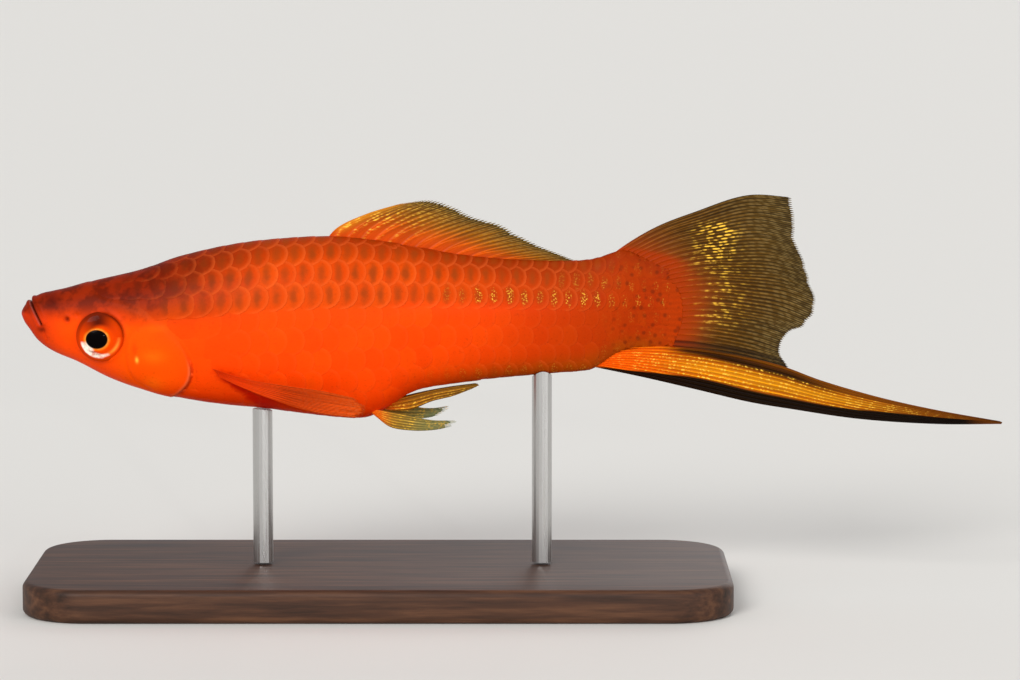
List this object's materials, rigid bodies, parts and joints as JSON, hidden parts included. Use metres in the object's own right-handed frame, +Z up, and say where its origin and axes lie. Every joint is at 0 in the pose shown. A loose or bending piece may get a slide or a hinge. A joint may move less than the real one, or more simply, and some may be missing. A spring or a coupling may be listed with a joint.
{
  "type": "male swordtail fish model",
  "caption": "Life-size male swordtail in a swimming pose, orange-red, with raised dorsal fin, rayed tail fan and a long sword, held by short rods on a flat base.",
  "frame": {"origin": "on the floor, at the centre of the stand base's underside", "axes": "the fish faces -X with its left side towards -Y; +Z is up"},
  "size_m": [0.1179, 0.038, 0.0487],
  "materials": {
    "head_skin": "smooth, wet-looking skin, dark red on the crown and snout, orange-red on the cheek",
    "body_skin": "fine overlapping scales, orange-brown with dark centres above, brilliant orange-red below",
    "eye": "clear glossy eye with an orange and gold iris and a dark pupil",
    "fin": "thin ribbed membrane, orange at the root and smoky yellow-brown at the edge",
    "tail_fin": "thin ribbed membrane, smoky olive-brown with gold glints on the rays",
    "sword": "golden orange rays between dark stripes",
    "stand_wood": "dark stained beech, satin lacquer",
    "stand_steel": "drawn stainless steel rod"
  },
  "bodies": {
    "root": {"head": "head_skin", "trunk": "body_skin", "tail_stem": "body_skin", "gill_cover_left": "body_skin", "gill_cover_right": "body_skin", "eye_left": "eye", "eye_right": "eye", "dorsal_fin": "fin", "pectoral_fin_left": "fin", "pectoral_fin_right": "fin", "pelvic_fin_left": "fin", "pelvic_fin_right": "fin", "gonopodium": "fin", "caudal_fan": "tail_fin", "sword": "sword", "stand_base": "stand_wood", "stand_rod_front": "stand_steel", "stand_rod_rear": "stand_steel"}
  },
  "joints": []
}
